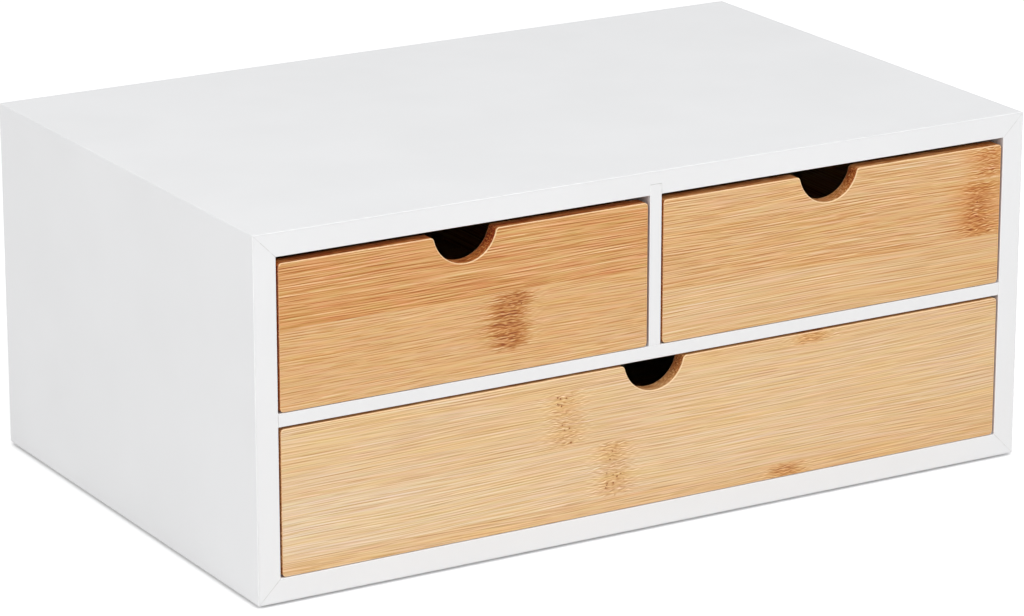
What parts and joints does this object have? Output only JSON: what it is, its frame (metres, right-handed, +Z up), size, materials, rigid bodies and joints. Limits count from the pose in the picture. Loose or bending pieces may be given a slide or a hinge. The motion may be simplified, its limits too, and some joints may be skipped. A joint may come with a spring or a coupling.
{
  "type": "desktop mini drawers",
  "caption": "Free-standing white mitred cabinet with small bamboo drawers over a wide one, each pulled open by a half-round finger notch.",
  "frame": {"origin": "on the surface it stands on, under the middle of the cabinet", "axes": "+Z up, +X to the right as seen from the front, the drawers face and open towards -Y"},
  "size_m": [0.33, 0.21, 0.138],
  "materials": {
    "white_lacquer": "satin white lacquer on smooth fibreboard",
    "white_back_board": "matt white painted thin hardboard",
    "birch_ply": "bare sawn plywood",
    "pin_steel": "bright drawn steel",
    "felt": "pressed wool felt",
    "bamboo_warm": "clear satin lacquer on warm brown laminated bamboo",
    "bamboo_honey": "clear satin lacquer on honey laminated bamboo",
    "bamboo_pale": "clear satin lacquer on pale laminated bamboo",
    "bamboo_ply": "thin pale bamboo plywood, clear satin lacquer",
    "dowel_wood": "bare turned wood"
  },
  "bodies": {
    "cabinet": {"top_panel": "white_lacquer", "bottom_panel": "white_lacquer", "left_side": "white_lacquer", "right_side": "white_lacquer", "shelf": "white_lacquer", "centre_divider": "white_lacquer", "back_panel": "white_back_board", "back_pins": "pin_steel", "top_left_tongue": "birch_ply", "top_right_tongue": "birch_ply", "bottom_left_tongue": "birch_ply", "bottom_right_tongue": "birch_ply", "front_left_pad": "felt", "front_right_pad": "felt", "back_left_pad": "felt", "back_right_pad": "felt"},
    "left_drawer": {"left_drawer_front": "bamboo_warm", "left_drawer_left_side": "bamboo_warm", "left_drawer_right_side": "bamboo_warm", "left_drawer_rear": "bamboo_warm", "left_drawer_bottom": "bamboo_ply", "left_drawer_dowels": "dowel_wood"},
    "right_drawer": {"right_drawer_front": "bamboo_honey", "right_drawer_left_side": "bamboo_honey", "right_drawer_right_side": "bamboo_honey", "right_drawer_rear": "bamboo_honey", "right_drawer_bottom": "bamboo_ply", "right_drawer_dowels": "dowel_wood"},
    "wide_drawer": {"wide_drawer_front": "bamboo_pale", "wide_drawer_left_side": "bamboo_pale", "wide_drawer_right_side": "bamboo_pale", "wide_drawer_rear": "bamboo_pale", "wide_drawer_bottom": "bamboo_ply", "wide_drawer_dowels": "dowel_wood"}
  },
  "joints": [
    {"name": "left_drawer_slide", "type": "slide", "parent": "cabinet", "child": "left_drawer", "axis": [0, -1, 0], "range_m": [0, 0.15]},
    {"name": "right_drawer_slide", "type": "slide", "parent": "cabinet", "child": "right_drawer", "axis": [0, -1, 0], "range_m": [0, 0.15]},
    {"name": "wide_drawer_slide", "type": "slide", "parent": "cabinet", "child": "wide_drawer", "axis": [0, -1, 0], "range_m": [0, 0.15]}
  ]
}
